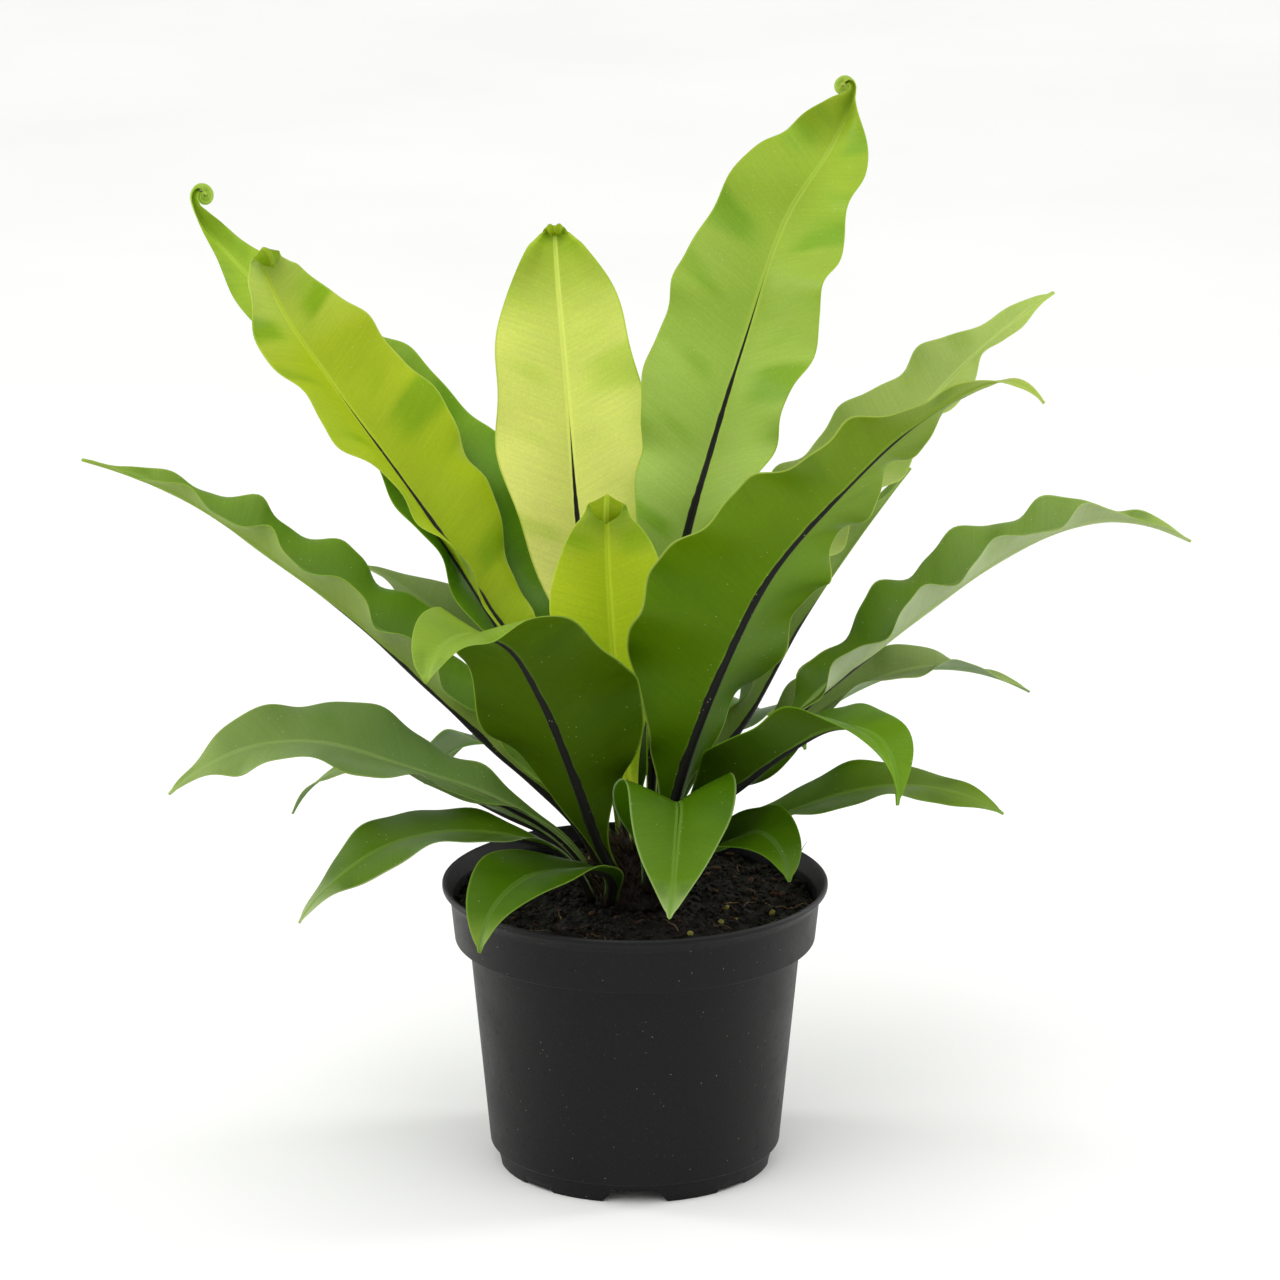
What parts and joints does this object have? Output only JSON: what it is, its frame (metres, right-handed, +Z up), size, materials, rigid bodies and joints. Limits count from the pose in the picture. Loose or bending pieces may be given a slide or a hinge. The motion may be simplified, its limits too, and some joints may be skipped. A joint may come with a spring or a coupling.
{
  "type": "potted fern",
  "caption": "Bird's nest fern: a rosette of strap-shaped, wavy-edged fronds on a short crown, planted in soil in a round lipped nursery pot.",
  "frame": {"origin": "on the ground under the pot's axis", "axes": "+Z up along the pot's axis, -Y towards the plant's front, +X to the right seen from the front"},
  "size_m": [0.4886, 0.2761, 0.4687],
  "materials": {
    "pot_plastic": "matte",
    "potting_soil": "matte",
    "crown_fibre": "matte",
    "frond_young": "satin",
    "frond_light": "satin",
    "frond_mid": "satin",
    "frond_dark": "satin",
    "frond_gray": "satin"
  },
  "bodies": {
    "root": {"nursery_pot": "pot_plastic", "potting_soil": "potting_soil", "crown": "crown_fibre", "frond_centre_back": "frond_young", "frond_young": "frond_young", "frond_tall_right": "frond_light", "frond_tall_left": "frond_light", "frond_tall_left_back": "frond_mid", "frond_right_front": "frond_dark", "frond_right_back": "frond_mid", "frond_right_inner": "frond_gray", "frond_right_long": "frond_mid", "frond_right_shade": "frond_gray", "frond_right_short": "frond_dark", "frond_right_low": "frond_dark", "frond_front_centre": "frond_dark", "frond_front_right": "frond_dark", "frond_front_left": "frond_dark", "frond_left_low": "frond_dark", "frond_left_arching": "frond_dark", "frond_left_shade": "frond_gray", "frond_left_long": "frond_mid", "frond_left_front": "frond_dark", "frond_left_inner": "frond_gray", "frond_back_high_left": "frond_mid", "frond_back_high_right": "frond_mid", "frond_back_low": "frond_dark", "frond_back_low_left": "frond_dark", "frond_back_low_right": "frond_dark"}
  },
  "joints": []
}
